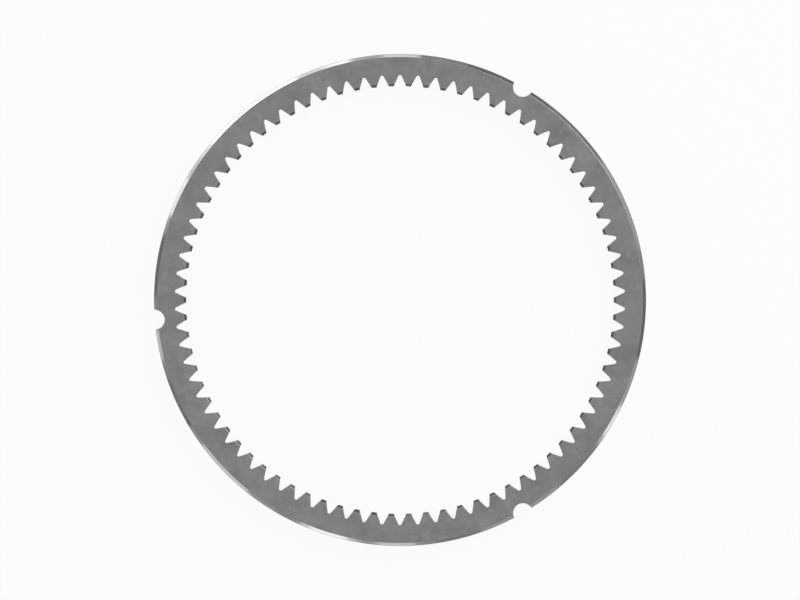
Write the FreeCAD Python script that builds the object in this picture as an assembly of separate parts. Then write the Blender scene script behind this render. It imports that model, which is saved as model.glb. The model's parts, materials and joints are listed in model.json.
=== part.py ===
import FreeCAD, Part
import math
import os

# Ring gear with internal spur teeth, made in one piece of steel.
# The frame's origin is on the ring's axis, in its lower face. +Z runs along the axis, and
# tooth number 0 points from +X towards the axis. Lengths are in millimetres, angles in degrees.

# Teeth
TEETH = 78
MODULE = 2.0
PRESSURE_ANGLE = 25.0
# The shift is negative on these teeth, which are thicker at the pitch circle than the spaces.
PROFILE_SHIFT = -0.245
# From the pitch circle in to the tooth tips, in modules.
ADDENDUM_FACTOR = 1.0
# Radius of the round bottom of each tooth space, in modules. It runs into both flanks.
ROOT_ROUND_FACTOR = 0.3

# Rim
# From the pitch circle out to the rim's outer surface.
RIM_DEPTH = 9.5
FACE_WIDTH = 12.0
# Turned edge breaks, on both faces alike, by their width on the face. The tips' break is at 45
# degrees. The rim's is flatter, as a lead for the bore that it seats in.
OUTER_CHAMFER = 1.15
OUTER_CHAMFER_DEPTH = 1.0
TIP_CHAMFER = 1.0

# Notches for locating pins, half round and centred on the outer surface
NOTCH_COUNT = 3
NOTCH_RADIUS = 3.5
FIRST_NOTCH_ANGLE = 60.0
# One notch stands a tooth further on than an even spacing, so the ring seats one way round only.
KEY_NOTCH = 1
KEY_SHIFT_TEETH = 1

# How far the cutting shapes run past the surfaces that they cut.
OVERRUN = 1.0
# Points that carry one flank's curve.
FLANK_POINTS = 4

TOOTH_PITCH = 2.0 * math.pi / TEETH
PITCH_RADIUS = MODULE * TEETH / 2.0
BASE_RADIUS = PITCH_RADIUS * math.cos(math.radians(PRESSURE_ANGLE))
TIP_RADIUS = PITCH_RADIUS - ADDENDUM_FACTOR * MODULE
ROOT_ROUND = ROOT_ROUND_FACTOR * MODULE
OUTER_RADIUS = PITCH_RADIUS + RIM_DEPTH

AXIS = FreeCAD.Vector(0, 0, 1)
CENTRE = FreeCAD.Vector(0, 0, 0)


def involute(angle):
    """The involute function: the tangent of an angle less the angle, both in radians."""
    return math.tan(angle) - angle


def involute_angle(value):
    """The angle whose involute is value, by Newton's method from a first guess for small angles."""
    angle = (3.0 * value) ** (1.0 / 3.0)
    for _ in range(20):
        angle -= (involute(angle) - value) / math.tan(angle) ** 2
    return angle


def half_space(radius):
    """Half the angle, in radians, that a tooth space takes up at a radius.

    On the pitch circle it is a quarter of a pitch, opened by the profile shift. From there it
    follows the involute of the base circle, so it closes as the radius grows.
    """
    pressure = math.radians(PRESSURE_ANGLE)
    at_pitch = TOOTH_PITCH / 4.0 + 2.0 * PROFILE_SHIFT * math.tan(pressure) / TEETH
    return at_pitch + involute(pressure) - involute(math.acos(BASE_RADIUS / radius))


def polar(radius, angle):
    """The point at a radius and an angle in radians, in the plane of the lower face."""
    return FreeCAD.Vector(radius * math.cos(angle), radius * math.sin(angle), 0)


def root_round():
    """Centre radius of the round at the bottom of a space, and the radius where the flanks meet it.

    A curve parallel to an involute is an involute of the same base circle, so the centre lies
    where the space, narrowed by the round's radius, closes. The flank point that the round
    touches is one round's radius further along the line that touches the base circle.
    """
    closing = half_space(BASE_RADIUS) - ROOT_ROUND / BASE_RADIUS
    centre = BASE_RADIUS / math.cos(involute_angle(closing))
    roll = math.sqrt(centre ** 2 - BASE_RADIUS ** 2)
    return centre, math.hypot(BASE_RADIUS, roll + ROOT_ROUND)


def flank(side, inner, outer):
    """One flank of the space that is centred on +X, as a curve from inner to outer radius."""
    step = (outer - inner) / (FLANK_POINTS - 1)
    radii = [inner + step * i for i in range(FLANK_POINTS)]
    curve = Part.BSplineCurve()
    curve.interpolate([polar(radius, side * half_space(radius)) for radius in radii])
    return curve


def space_cutter():
    """The prism that cuts one tooth space, centred on +X: two flanks, a round root and the bore.

    It starts inside the bore, on radii where the involute still holds, and runs past both faces.
    """
    inner = max(TIP_RADIUS - OVERRUN, BASE_RADIUS)
    centre, touch = root_round()
    low = flank(-1, inner, touch)
    high = flank(1, inner, touch)
    bottom = Part.Arc(low.EndPoint, polar(centre + ROOT_ROUND, 0), high.EndPoint)
    mouth = Part.Arc(low.StartPoint, polar(inner, 0), high.StartPoint)
    edges = [low.toShape(), bottom.toShape(), high.toShape(), mouth.toShape()]
    profile = Part.Face(Part.Wire(edges))
    profile.translate(-OVERRUN * AXIS)
    return profile.extrude((FACE_WIDTH + 2.0 * OVERRUN) * AXIS)


def tooth_spaces():
    """Cutters for all the spaces. The first is half a pitch on from tooth number 0."""
    first = space_cutter()
    cutters = []
    for number in range(TEETH):
        cutter = first.copy()
        cutter.rotate(CENTRE, AXIS, math.degrees(TOOTH_PITCH * (number + 0.5)))
        cutters.append(cutter)
    return cutters


def turned_blank():
    """The blank before its teeth are cut: a plain ring, turned, with all four edges broken."""
    corners = [
        (TIP_RADIUS, TIP_CHAMFER),
        (TIP_RADIUS + TIP_CHAMFER, 0),
        (OUTER_RADIUS - OUTER_CHAMFER, 0),
        (OUTER_RADIUS, OUTER_CHAMFER_DEPTH),
        (OUTER_RADIUS, FACE_WIDTH - OUTER_CHAMFER_DEPTH),
        (OUTER_RADIUS - OUTER_CHAMFER, FACE_WIDTH),
        (TIP_RADIUS + TIP_CHAMFER, FACE_WIDTH),
        (TIP_RADIUS, FACE_WIDTH - TIP_CHAMFER),
    ]
    points = [FreeCAD.Vector(radius, 0, height) for radius, height in corners]
    section = Part.Face(Part.makePolygon(points + points[:1]))
    return section.revolve(CENTRE, AXIS, 360)


def notch_angle(number):
    """Angle of a notch in degrees. Each stands behind the middle of a tooth."""
    even = FIRST_NOTCH_ANGLE + 360.0 * number / NOTCH_COUNT
    tooth = round(even / 360.0 * TEETH)
    if number == KEY_NOTCH:
        tooth += KEY_SHIFT_TEETH
    return math.degrees(tooth * TOOTH_PITCH)


def pin_notches():
    """Cutters for the notches: upright cylinders centred on the rim's outer surface."""
    cutters = []
    for number in range(NOTCH_COUNT):
        place = polar(OUTER_RADIUS, math.radians(notch_angle(number))) - OVERRUN * AXIS
        cutters.append(Part.makeCylinder(NOTCH_RADIUS, FACE_WIDTH + 2.0 * OVERRUN, place, AXIS))
    return cutters


def ring_gear():
    """The turned blank with its tooth spaces and notches cut through it."""
    return turned_blank().cut(tooth_spaces() + pin_notches())


os.makedirs("parts", exist_ok=True)
gear = ring_gear()
gear.exportStep("parts/ring_gear.step")
root_diameter = 2.0 * (root_round()[0] + ROOT_ROUND)
print("tip diameter %.2f, root diameter %.2f" % (2.0 * TIP_RADIUS, root_diameter))
print("outer diameter %.2f, volume %.0f" % (2.0 * OUTER_RADIUS, gear.Volume))
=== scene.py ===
import json
import math

import bpy
import numpy as np
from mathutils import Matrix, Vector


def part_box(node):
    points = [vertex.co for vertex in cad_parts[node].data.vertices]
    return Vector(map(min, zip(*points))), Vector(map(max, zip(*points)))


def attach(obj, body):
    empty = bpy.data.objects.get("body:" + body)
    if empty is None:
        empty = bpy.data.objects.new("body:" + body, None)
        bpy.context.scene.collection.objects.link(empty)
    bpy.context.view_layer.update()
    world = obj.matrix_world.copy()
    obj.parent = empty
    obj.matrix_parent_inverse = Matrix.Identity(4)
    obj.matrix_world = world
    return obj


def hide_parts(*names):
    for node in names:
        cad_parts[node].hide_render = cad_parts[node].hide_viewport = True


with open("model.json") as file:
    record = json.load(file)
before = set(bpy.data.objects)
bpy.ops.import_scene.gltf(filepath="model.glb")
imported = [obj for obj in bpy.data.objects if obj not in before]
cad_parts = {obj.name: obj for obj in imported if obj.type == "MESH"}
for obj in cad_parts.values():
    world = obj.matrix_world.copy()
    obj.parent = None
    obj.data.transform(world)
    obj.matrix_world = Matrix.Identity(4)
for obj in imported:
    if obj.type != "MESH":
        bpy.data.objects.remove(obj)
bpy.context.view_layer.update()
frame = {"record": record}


# The ring gear
# One steel ring, turned from a forged blank with all its edges broken. Its 78 teeth were shaped
# on the inside, its three pin notches were milled in the rim, and its two faces were ground.

MM = 0.001

mounts = {mount["name"]: mount for mount in frame["record"]["mounts"]}
node_low, node_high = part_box("ring_gear")
OUTER_RADIUS = mounts["rim"]["dims"]["r_mm"] * MM
NOTCH_RADIUS = mounts["pin_notch_a"]["dims"]["r_mm"] * MM

TEETH = 78
MODULE = 2.0 * MM
PRESSURE_ANGLE = math.radians(25.0)
# The shift is negative on these teeth, which are thicker at the pitch circle than the spaces.
PROFILE_SHIFT = -0.245
ROOT_ROUND = 0.6 * MM
# The edge breaks, alike on both faces. The tips' is at 45 degrees and the rim's is flatter.
OUTER_CHAMFER = 1.15 * MM
OUTER_CHAMFER_DEPTH = 1.0 * MM
TIP_CHAMFER = 1.0 * MM
# Small rounds: where an edge break meets a face, on the rim's corners, on the lower edge of the
# tips' break, and on the upright corners of the teeth and notches.
EDGE_ROUND = 0.15 * MM
RIM_CORNER_ROUND = 0.15 * MM
TIP_EDGE_ROUND = 0.05 * MM
CORNER_ROUND = 0.2 * MM

# The pitch is the angle from one tooth to the next.
PITCH = 2 * math.pi / TEETH
PITCH_RADIUS = MODULE * TEETH / 2
BASE_RADIUS = PITCH_RADIUS * math.cos(PRESSURE_ANGLE)
TIP_RADIUS = PITCH_RADIUS - MODULE
# Half the angle of a tooth where its flanks would meet the base circle.
HALF_TOOTH_AT_BASE = (
    (math.pi / 2 - 2 * PROFILE_SHIFT * math.tan(PRESSURE_ANGLE)) / TEETH
    - math.tan(PRESSURE_ANGLE) + PRESSURE_ANGLE)
# Steps of Newton's method, more than it needs to settle.
NEWTON_STEPS = 20

# Columns of the mesh, as steps along half a tooth and half a space.
TIP_STEPS = 2
CORNER_STEPS = 3
FLANK_STEPS = 3
ROOT_STEPS = 4
HALF_PITCH_STEPS = TIP_STEPS + CORNER_STEPS + FLANK_STEPS + ROOT_STEPS
COLUMNS = 2 * HALF_PITCH_STEPS * TEETH
# A notch is laid out with the rim beside it, over this many half pitches to each side.
NOTCH_HALF_PITCHES = 3
NOTCH_STEPS = NOTCH_HALF_PITCHES * HALF_PITCH_STEPS
# Rows of the mesh, as steps across a face.
FACE_STEPS = 2
# A row or column this far from each round keeps the flat beside it flat when the mesh is shaded.
HOLD = 0.04 * MM


def turn(angle):
    """A point of the plan is a complex number. This is the unit vector at an angle."""
    return np.exp(1j * angle)


def arc(centre, radius, start, end, steps):
    """Points on a circular arc, without its first one: centre plus radius times the unit vector
    at evenly spaced angles. Every argument may be a column of one value for each row."""
    share = np.arange(1, steps + 1) / steps
    return centre + radius * turn(start + (end - start) * share)


def flank(roll, offset):
    """The upper flank of the tooth on +X, moved into the metal by offset: the involute that a
    taut thread's end draws when a length roll of it is wound off the base circle. A parallel
    curve of it is the same curve turned by offset over the base radius."""
    angle = HALF_TOOTH_AT_BASE - offset / BASE_RADIUS + roll / BASE_RADIUS
    return (BASE_RADIUS - 1j * roll) * turn(angle)


def roll_at(radius):
    """Length of thread between the base circle and an involute's point at a radius."""
    return np.sqrt(radius ** 2 - BASE_RADIUS ** 2)


def root_centre_roll():
    """Where the round in the bottom of a space has its centre. It lies on the involute that
    runs one round's radius inside the space, where that reaches the middle of the space.
    Newton's method finds the angle whose tangent, less the angle itself, is the target."""
    target = PITCH / 2 - HALF_TOOTH_AT_BASE - ROOT_ROUND / BASE_RADIUS
    angle = np.cbrt(3 * target)
    for _ in range(NEWTON_STEPS):
        angle -= (np.tan(angle) - angle - target) / np.tan(angle) ** 2
    return BASE_RADIUS * np.tan(angle)


def half_tooth(setback, tip_radius):
    """Plan of the teeth from the middle of a tooth to the middle of the next space: the tip
    circle, a small round at the corner, the involute flank and the round of the root. setback
    moves it into the metal. Each argument holds one value for each row, and each row gets the
    same number of points."""
    corner = CORNER_ROUND - setback
    corner_roll = roll_at(tip_radius + corner)
    corner_centre = flank(corner_roll, setback + corner)
    corner_angle = np.angle(corner_centre)
    corner_end = HALF_TOOTH_AT_BASE + (corner_roll - setback - corner) / BASE_RADIUS + math.pi / 2
    tip_hold = corner_angle - HOLD / tip_radius
    tip = tip_radius * turn(np.hstack([0 * corner_angle, tip_hold, corner_angle]))
    round_off = arc(corner_centre, corner, corner_angle + math.pi, corner_end, CORNER_STEPS)

    centre_roll = root_centre_roll()
    root = ROOT_ROUND + setback
    hold = corner_roll - corner + HOLD
    last = centre_roll + root
    side = flank(np.hstack([hold, (hold + last) / 2, last]), setback)
    root_centre = flank(centre_roll, -ROOT_ROUND)
    root_start = PITCH / 2 + math.atan(centre_roll / BASE_RADIUS) - math.pi / 2
    bottom = arc(root_centre, root, root_start, PITCH / 2, ROOT_STEPS)
    return np.hstack([tip, round_off, side, bottom])


def tooth_rows(setback, tip_radius):
    """The inner outline all the way round from the middle of a space, one row for each setback:
    half a tooth and its mirror image make one pitch, which is then turned to every tooth."""
    half = half_tooth(setback, tip_radius)
    pitch = np.hstack([half[:, :0:-1].conj(), half[:, :-1]])
    turns = turn(PITCH * np.arange(TEETH))
    return (turns[None, :, None] * pitch[:, None, :]).reshape(len(setback), COLUMNS)


def half_notch(setback, outer_radius):
    """Plan of a notch on +X from its middle outwards, and on along the rim: the notch's circle, a
    small round at the corner and the rim's circle. The notch and its corner take up about as many
    columns as half a pitch, and the rim the rest."""
    corner = CORNER_ROUND - setback
    notch = NOTCH_RADIUS + setback
    reach = outer_radius - corner
    across = notch + corner
    angle = np.arccos((OUTER_RADIUS ** 2 + reach ** 2 - across ** 2) / (2 * OUTER_RADIUS * reach))
    centre = reach * turn(angle)
    lean = np.angle(centre - OUTER_RADIUS)
    hollow_steps = HALF_PITCH_STEPS - CORNER_STEPS + 1
    rim_steps = NOTCH_STEPS - hollow_steps - CORNER_STEPS
    middle = OUTER_RADIUS - notch
    hollow = arc(OUTER_RADIUS, notch, math.pi, lean, hollow_steps)
    round_off = arc(centre, corner, lean - math.pi, angle, CORNER_STEPS)
    rim = arc(0, outer_radius, angle, NOTCH_HALF_PITCHES * PITCH / 2, rim_steps)
    return np.hstack([middle, hollow, round_off, rim])


def rim_rows(setback, outer_radius):
    """The outer outline all the way round from the middle of a space, one row for each setback:
    the rim's circle, with half a notch and its mirror image laid over it at each pin notch. Each
    notch stands behind the middle of a tooth."""
    step_angle = PITCH / (2 * HALF_PITCH_STEPS)
    rows = outer_radius * turn(step_angle * (np.arange(COLUMNS) - HALF_PITCH_STEPS))
    half = half_notch(setback, outer_radius)
    both = np.hstack([half[:, :0:-1].conj(), half])
    for name in ("pin_notch_a", "pin_notch_b", "pin_notch_c"):
        x, y = mounts[name]["pos_m"][:2]
        tooth = round(math.atan2(y, x) / PITCH)
        middle = (2 * tooth + 1) * HALF_PITCH_STEPS
        around = (middle + np.arange(-NOTCH_STEPS, NOTCH_STEPS + 1)) % COLUMNS
        rows[:, around] = both * turn(tooth * PITCH)
    return rows


def circle_profile(radius, centre_depth, depth):
    """How far a wall lies behind its own surface where a round runs out of it: the radius less
    the half chord at that depth, and nothing below the round's centre."""
    above = np.clip(centre_depth - depth, 0, radius)
    return radius - np.sqrt(radius ** 2 - above ** 2)


def broken_edge(run, drop, low_round):
    """Upper end of a wall, for an edge break that is run wide and drop deep, with a small round on
    its upper edge and one of radius low_round on its lower edge. Gives the rows from the face
    down: how far a wall without the break is set back, how far the broken edge is, and the depth
    below the face."""
    lean = math.atan2(run, drop)
    top_centre = run + EDGE_ROUND * math.tan((math.pi / 2 - lean) / 2)
    low_centre = drop + low_round * math.tan(lean / 2)
    upper_angles = np.array([math.pi / 2, (math.pi / 2 + lean) / 2, lean, lean / 2, 0])
    lower_angles = np.array([lean, lean / 2, 0])
    upper = EDGE_ROUND * (1 - np.sin(upper_angles))
    lower = low_centre - low_round * np.sin(lower_angles)
    depth = np.concatenate([[0], upper, [lower[0] - HOLD], lower, [low_centre + HOLD]])
    setback = circle_profile(EDGE_ROUND, EDGE_ROUND, depth)
    push = np.select(
        [depth < upper[2], depth < lower[0]],
        [top_centre - EDGE_ROUND + setback, run - depth * run / drop],
        circle_profile(low_round, low_centre, depth))
    setback[0] += HOLD
    push[0] += HOLD
    return setback[:, None], push[:, None], depth


def both_ends(plan, depth):
    """A wall's rows from the top face to the bottom face, which are alike: the rows of the upper
    half, then the same plan again in reverse order, with their heights."""
    heights = np.concatenate([node_high[2] - depth, node_low[2] + depth[::-1]])
    return np.vstack([plan, plan[::-1]]), heights


def ring_surface():
    """The ring as a closed grid. One parameter runs round the ring. The other runs round its
    section: up the toothed wall, out over the top face, down the rim and back under the ring."""
    setback, push, depth = broken_edge(TIP_CHAMFER, TIP_CHAMFER, TIP_EDGE_ROUND)
    inner, inner_heights = both_ends(tooth_rows(setback, TIP_RADIUS + push), depth)
    setback, push, depth = broken_edge(OUTER_CHAMFER, OUTER_CHAMFER_DEPTH, RIM_CORNER_ROUND)
    outer, outer_heights = both_ends(rim_rows(setback, OUTER_RADIUS - push), depth)
    across = np.arange(1, FACE_STEPS)[:, None] / FACE_STEPS
    top = inner[0] + (outer[0] - inner[0]) * across
    bottom = outer[-1] + (inner[-1] - outer[-1]) * across
    plan = np.vstack([inner[::-1], top, outer, bottom])
    heights = np.concatenate([
        inner_heights[::-1], np.full(len(top), node_high[2]),
        outer_heights, np.full(len(bottom), node_low[2])])
    return np.stack([plan.real, plan.imag, np.broadcast_to(heights[:, None], plan.shape)], axis=2)


def closed_mesh(name, points):
    """A mesh from a grid of points that closes on itself both ways. Each face joins a point, the
    one in the next row, the one after both and the one in the next column."""
    rows, columns = points.shape[:2]
    index = np.arange(rows * columns).reshape(rows, columns)
    up = np.roll(index, -1, axis=0)
    faces = np.stack([index, up, np.roll(up, -1, axis=1), np.roll(index, -1, axis=1)], axis=2)
    mesh = bpy.data.meshes.new(name)
    mesh.vertices.add(rows * columns)
    mesh.vertices.foreach_set("co", points.ravel())
    mesh.loops.add(4 * rows * columns)
    mesh.loops.foreach_set("vertex_index", faces.ravel())
    mesh.polygons.add(rows * columns)
    mesh.polygons.foreach_set("loop_start", np.arange(0, 4 * rows * columns, 4))
    mesh.update(calc_edges=True)
    mesh.validate()
    mesh.shade_smooth()
    return mesh


def linear(hex_colour):
    """An sRGB hex colour as the linear one that shaders take."""
    parts = [int(hex_colour[i:i + 2], 16) / 255 for i in (1, 3, 5)]
    return [p / 12.92 if p <= 0.04045 else ((p + 0.055) / 1.055) ** 2.4 for p in parts] + [1.0]


def add(tree, kind, settings=None, **inputs):
    """Adds a node to a tree. settings are its properties, and inputs are values or links for its
    sockets. A socket's name is written with underscores for spaces. Where sockets share a name,
    the socket's number stands after one underscore, counted from 0."""
    node = tree.nodes.new(kind)
    for key, value in (settings or {}).items():
        setattr(node, key, value)
    for key, value in inputs.items():
        numbered = key[1:].isdigit()
        socket = node.inputs[int(key[1:])] if numbered else node.inputs[key.replace("_", " ")]
        if isinstance(value, bpy.types.NodeSocket):
            tree.links.new(value, socket)
        else:
            socket.default_value = value
    return node


def new_material(name):
    """An empty material and its tree of nodes."""
    material = bpy.data.materials.new(name)
    material.use_nodes = True
    material.node_tree.nodes.clear()
    return material, material.node_tree


# The clouds and flecks of a ground face, by their real width.
CLOUD_SIZE = 8.0 * MM
CLOUD_DARK = "#A1A1A1"
CLOUD_LIGHT = "#BABABA"
FLECK_SIZE = 2.6 * MM
FLECK_LIGHT = "#CACACA"
# The lines that cutting leaves. Real ones lie about 0.1 mm apart, too fine to show, so they are
# drawn 0.5 mm apart. Each is drawn out a hundred times as long as it is wide.
LINE_SPACING = 0.5 * MM
LINE_LENGTH = 100
LINE_DEPTH = 0.004 * MM
LINE_DARK = "#A6A6A6"
LINE_LIGHT = "#B6B6B6"
# Roughness at the dark and at the light of a line.
FINE_ROUGHNESS = (0.08, 0.12)
WALL_ROUGHNESS = (0.16, 0.24)
# The painted dark reflection on the rim's corner rounds covers how far the round reaches in from
# the rim and down the wall. It turns through 49 degrees, so that is about a third and a half of its
# radius.
CORNER_IN = RIM_CORNER_ROUND / 3
CORNER_DOWN = RIM_CORNER_ROUND / 2
# Colour of the painted dark reflection on the rim's corners.
PAINTED_CORNER_REFLECTION = "#6A6A6A"
# What lies this close to a face's height belongs to the face.
FACE_SKIN = 0.01 * MM


def ground_steel():
    """Bare alloy steel with a satin gloss, a neutral mid grey. Its ground faces have soft clouds a
    few millimetres wide, where the grain took the finish differently, with small lighter flecks
    in them. The turned rim has fine lines round the ring and the shaped teeth have lines along
    the axis, and both walls are a little duller than the faces and the edge breaks. The rim's
    corner rounds are painted dark grey, a painted dark reflection that gives the ring its outline."""
    material, tree = new_material("ground_steel")
    place = add(tree, "ShaderNodeTexCoord").outputs["Object"]

    clouds = add(tree, "ShaderNodeTexNoise", Vector=place, Scale=1 / CLOUD_SIZE, Detail=4.0,
                 Roughness=0.62)
    tone = add(tree, "ShaderNodeValToRGB", Fac=clouds.outputs["Fac"])
    tone.color_ramp.elements[0].position = 0.28
    tone.color_ramp.elements[0].color = linear(CLOUD_DARK)
    tone.color_ramp.elements[1].position = 0.72
    tone.color_ramp.elements[1].color = linear(CLOUD_LIGHT)
    flecks = add(tree, "ShaderNodeTexNoise", Vector=place, Scale=1 / FLECK_SIZE, Detail=1.0)
    fleck = add(tree, "ShaderNodeMapRange", Value=flecks.outputs["Fac"], From_Min=0.58,
                From_Max=0.72, To_Min=0.0, To_Max=0.3)
    ground = add(tree, "ShaderNodeMix", {"data_type": "RGBA"}, _0=fleck.outputs["Result"],
                 _6=tone.outputs["Color"], _7=linear(FLECK_LIGHT))

    flattened = add(tree, "ShaderNodeMapping", Vector=place, Scale=(1.0, 1.0, 0.0))
    radius = add(tree, "ShaderNodeVectorMath", {"operation": "LENGTH"},
                 Vector=flattened.outputs["Vector"])
    on_rim = add(tree, "ShaderNodeMath", {"operation": "GREATER_THAN"},
                 _0=radius.outputs["Value"], _1=OUTER_RADIUS - OUTER_CHAMFER)
    squeeze = 1 / LINE_LENGTH
    along_axis = add(tree, "ShaderNodeMapping", Vector=place, Scale=(1.0, 1.0, squeeze))
    round_ring = add(tree, "ShaderNodeMapping", Vector=place, Scale=(squeeze, squeeze, 1.0))
    cutting = add(tree, "ShaderNodeMix", {"data_type": "VECTOR"}, _0=on_rim.outputs[0],
                  _4=along_axis.outputs["Vector"], _5=round_ring.outputs["Vector"])
    lines = add(tree, "ShaderNodeTexNoise", Vector=cutting.outputs[1], Scale=1 / LINE_SPACING,
                Detail=2.0)
    line = add(tree, "ShaderNodeMapRange", Value=lines.outputs["Fac"], From_Min=0.35, From_Max=0.65)
    cut = add(tree, "ShaderNodeMix", {"data_type": "RGBA"}, _0=line.outputs["Result"],
              _6=linear(LINE_DARK), _7=linear(LINE_LIGHT))
    fine = add(tree, "ShaderNodeMapRange", Value=line.outputs["Result"],
               To_Min=FINE_ROUGHNESS[0], To_Max=FINE_ROUGHNESS[1])
    dull = add(tree, "ShaderNodeMapRange", Value=line.outputs["Result"],
               To_Min=WALL_ROUGHNESS[0], To_Max=WALL_ROUGHNESS[1])

    # Masks by the distance from the ring's middle plane and by the radius: the two faces, the
    # walls between the edge breaks, and the rim's corners, where a dark reflection is painted.
    half_width = (node_high[2] - node_low[2]) / 2
    height = add(tree, "ShaderNodeSeparateXYZ", Vector=place).outputs["Z"]
    above_middle = add(tree, "ShaderNodeMath", {"operation": "SUBTRACT"}, _0=height,
                       _1=(node_low[2] + node_high[2]) / 2)
    from_middle = add(tree, "ShaderNodeMath", {"operation": "ABSOLUTE"},
                      _0=above_middle.outputs[0])
    on_face = add(tree, "ShaderNodeMath", {"operation": "GREATER_THAN"},
                  _0=from_middle.outputs[0], _1=half_width - FACE_SKIN)
    on_wall = add(tree, "ShaderNodeMath", {"operation": "LESS_THAN"},
                  _0=from_middle.outputs[0], _1=half_width - OUTER_CHAMFER_DEPTH)
    near_rim = add(tree, "ShaderNodeMath", {"operation": "GREATER_THAN"},
                   _0=radius.outputs["Value"], _1=OUTER_RADIUS - CORNER_IN)
    off_wall = add(tree, "ShaderNodeMath", {"operation": "GREATER_THAN"},
                   _0=from_middle.outputs[0], _1=half_width - OUTER_CHAMFER_DEPTH - CORNER_DOWN)
    # The rim's corners, where a dark reflection is painted into the colour.
    painted_reflection_corner = add(tree, "ShaderNodeMath", {"operation": "MULTIPLY"},
                    _0=near_rim.outputs[0], _1=off_wall.outputs[0])

    machined = add(tree, "ShaderNodeMix", {"data_type": "RGBA"}, _0=on_face.outputs[0],
                   _6=cut.outputs[2], _7=ground.outputs[2])
    # Painted dark reflection: the rim's corners are coloured dark grey.
    colour = add(tree, "ShaderNodeMix", {"data_type": "RGBA"}, _0=painted_reflection_corner.outputs[0],
                 _6=machined.outputs[2], _7=linear(PAINTED_CORNER_REFLECTION))
    roughness = add(tree, "ShaderNodeMix", {"data_type": "FLOAT"}, _0=on_wall.outputs[0],
                    _2=fine.outputs["Result"], _3=dull.outputs["Result"])
    marks = add(tree, "ShaderNodeBump", Strength=on_wall.outputs[0], Distance=LINE_DEPTH,
                Height=line.outputs["Result"])
    steel = add(tree, "ShaderNodeBsdfPrincipled", Base_Color=colour.outputs[2], Metallic=1.0,
                Roughness=roughness.outputs[0], Normal=marks.outputs["Normal"])
    add(tree, "ShaderNodeOutputMaterial", Surface=steel.outputs["BSDF"])
    return material


ring = bpy.data.objects.new("ring_gear_steel", closed_mesh("ring_gear_steel", ring_surface()))
bpy.context.collection.objects.link(ring)
ring.data.materials.append(ground_steel())
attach(ring, "root")
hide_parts("ring_gear")


# The bench
# A wide sheet of white matt board that the ring lies on. It is drawn as plain white to the lens
# and in the metal, and the part of it that takes light keeps the ring's soft shadow.

BENCH_HALF = 3.0
# The board lies a hair below the ring, so that the two faces don't fall together.
BENCH_GAP = 0.05 * MM
BENCH_COLOUR = "#F8F8F8"
# The share of its look that is plain white. The rest takes light and shadow.
BENCH_PLAIN_SHARE = 0.94


def white_board():
    """Matt white board: a rough, even surface that looks the same white from every side, with no
    gloss to speak of."""
    material, tree = new_material("white_board")
    ray = add(tree, "ShaderNodeLightPath")
    lens_or_metal = add(tree, "ShaderNodeMath", {"operation": "MAXIMUM"},
                        _0=ray.outputs["Is Camera Ray"], _1=ray.outputs["Is Glossy Ray"])
    seen = add(tree, "ShaderNodeMath", {"operation": "MAXIMUM"},
               _0=lens_or_metal.outputs[0], _1=ray.outputs["Is Transmission Ray"])
    share = add(tree, "ShaderNodeMath", {"operation": "MULTIPLY"},
                _0=seen.outputs[0], _1=BENCH_PLAIN_SHARE)
    board = add(tree, "ShaderNodeBsdfDiffuse", Color=linear(BENCH_COLOUR))
    plain = add(tree, "ShaderNodeEmission", Color=linear("#FFFFFF"), Strength=1.0)
    mixed = add(tree, "ShaderNodeMixShader", Fac=share.outputs[0],
                _1=board.outputs["BSDF"], _2=plain.outputs["Emission"])
    add(tree, "ShaderNodeOutputMaterial", Surface=mixed.outputs["Shader"])
    return material


def flat_sheet(name, half, height):
    """A square sheet, level, with its corners at plus and minus half in X and Y."""
    corners = [
        (-half, -half, height), (half, -half, height),
        (half, half, height), (-half, half, height),
    ]
    mesh = bpy.data.meshes.new(name)
    mesh.from_pydata(corners, [], [(0, 1, 2, 3)])
    return mesh


bench = bpy.data.objects.new("bench", flat_sheet("bench", BENCH_HALF, node_low[2] - BENCH_GAP))
bpy.context.collection.objects.link(bench)
bench.data.materials.append(white_board())


# The studio
# A pale tent over the bench, darker near its foot. Upright soft boxes stand round its foot, with
# dark gaps between them, and one large soft box hangs high on the right as the main light.

# How bright the tent looks, by the sine of the elevation. Below the horizon it is as bright as
# the bench. The ring's faces mirror its top, which makes them a mid grey.
BENCH_LEVEL = 0.976
TOP_LEVEL = 0.49
TENT_LEVELS = (
    (-0.02, BENCH_LEVEL), (0.0, 0.3), (0.1, 0.2), (0.26, 0.2), (0.42, 0.55), (0.9, 0.5),
)


def grey(level):
    """A neutral colour, given by its linear level."""
    return (level, level, level, 1.0)


tent = bpy.data.worlds.new("tent")
bpy.context.scene.world = tent
tent.use_nodes = True
tent.node_tree.nodes.clear()
direction = add(tent.node_tree, "ShaderNodeTexCoord").outputs["Generated"]
rise = add(tent.node_tree, "ShaderNodeSeparateXYZ", Vector=direction).outputs["Z"]
height = add(tent.node_tree, "ShaderNodeMapRange", Value=rise, From_Min=-1.0, From_Max=1.0)
wall = add(tent.node_tree, "ShaderNodeValToRGB", Fac=height.outputs["Result"])
wall.color_ramp.elements[0].color = grey(BENCH_LEVEL)
wall.color_ramp.elements[1].color = grey(TOP_LEVEL)
for sine, level in TENT_LEVELS:
    stop = wall.color_ramp.elements.new((sine + 1) / 2)
    stop.color = grey(level)
sky = add(tent.node_tree, "ShaderNodeBackground", Color=wall.outputs["Color"], Strength=1.0)
add(tent.node_tree, "ShaderNodeOutputWorld", Surface=sky.outputs["Background"])


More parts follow.
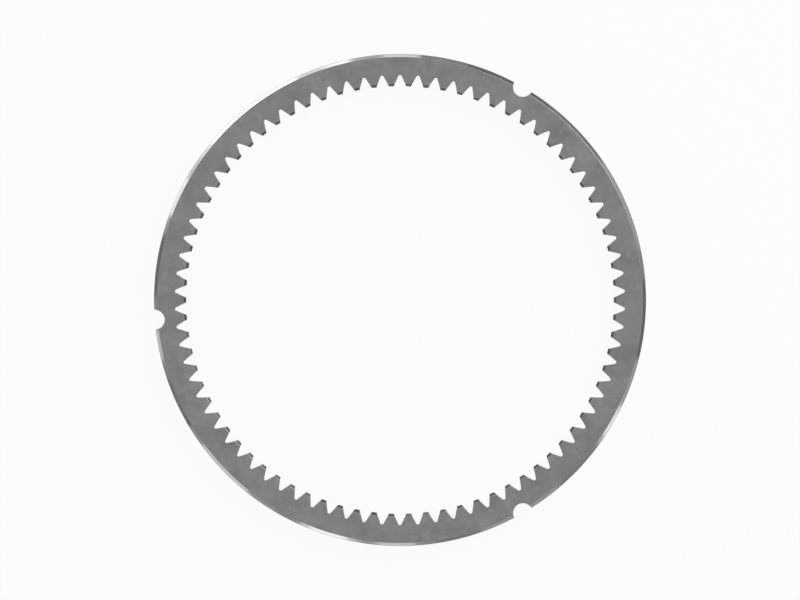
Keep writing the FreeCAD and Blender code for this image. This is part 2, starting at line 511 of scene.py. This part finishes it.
def soft_box(name, azimuth, elevation, distance, width, height, level):
    """A rectangular soft box that faces the ring. level is how bright it looks: its power is level
    times pi times its area."""
    lamp = bpy.data.lights.new(name, "AREA")
    lamp.shape = "RECTANGLE"
    lamp.size = width
    lamp.size_y = height
    lamp.energy = level * math.pi * width * height
    box = bpy.data.objects.new(name, lamp)
    around = math.radians(azimuth)
    up = math.radians(elevation)
    box.location = (distance * math.cos(up) * math.cos(around),
                    distance * math.cos(up) * math.sin(around), distance * math.sin(up))
    box.rotation_euler = (math.pi / 2 - up, 0, around + math.pi / 2)
    box.visible_camera = False
    bpy.context.collection.objects.link(box)


def ring_of_boxes(name, distance, elevation, height, boxes):
    """Upright soft boxes round the bench at one distance. Each is given by the azimuth of its
    middle and its width, in degrees, and by how bright it looks."""
    for azimuth, width, level in boxes:
        across = 2 * distance * math.tan(math.radians(width / 2))
        soft_box("%s_%d" % (name, azimuth), azimuth, elevation, distance, across, height, level)


# The low cards show in the edge breaks of the tooth tips. The dim cards and the strips show in
# the rim's as patches of light and dark, and each was set for the patch that it makes.
# The three rings of boxes stand at three distances, so that they add up in the metal.
ring_of_boxes("low_card", distance=2.1, elevation=2.2, height=0.13, boxes=(
    (38, 60, 0.4), (97, 16, 0.4),
))
ring_of_boxes("dim_card", distance=1.9, elevation=8.6, height=0.24, boxes=(
    (20, 30, 0.35), (43, 16, 0.2), (62.5, 23, 0.1), (79, 10, 0.32), (98.5, 10, 0.65),
    (145.5, 11, 1.15), (162, 5, 0.55), (172, 15, 0.12), (182, 5, 0.4), (191.5, 14, 0.37),
    (204, 11, 0.2), (225, 28, 0.46), (244, 10, 0.32), (253, 14, 0.8), (269, 18, 0.4),
    (305, 54, 0.24), (335, 22, 0.52), (355.5, 19, 0.09),
))
ring_of_boxes("strip", distance=1.6, elevation=8.6, height=0.2, boxes=(
    (23, 22, 0.23), (89.5, 8.5, 1.3), (105.2, 6.4, 2.0), (112, 7, 1.35), (127.7, 24.6, 2.5),
    (142.3, 4.6, 0.45), (155.2, 9, 1.9), (189.5, 9, 0.62), (224, 15, 0.65), (253, 9, 1.1),
    (269, 9, 0.66), (300, 21, 0.28), (330.4, 7.6, 0.9),
))
soft_box("main_light", azimuth=43, elevation=50, distance=1.2, width=0.6, height=1.3, level=1.45)


# The lens
# It looks straight down the ring's axis and draws the ring as from far away, so no wall shows.
# The frame is 800 by 600, and the rim's radius is 246.05 of its pixels.

PHOTO_WIDTH = 800
PHOTO_RIM_RADIUS = 246.05
LENS_HEIGHT = 0.5

lens = bpy.data.cameras.new("lens")
lens.type = "ORTHO"
lens.ortho_scale = PHOTO_WIDTH * OUTER_RADIUS / PHOTO_RIM_RADIUS
lens.clip_start = 0.01
camera = bpy.data.objects.new("lens", lens)
camera.location = (0, 0, LENS_HEIGHT)
bpy.context.collection.objects.link(camera)
bpy.context.scene.camera = camera
bpy.context.scene.view_settings.view_transform = "Standard"
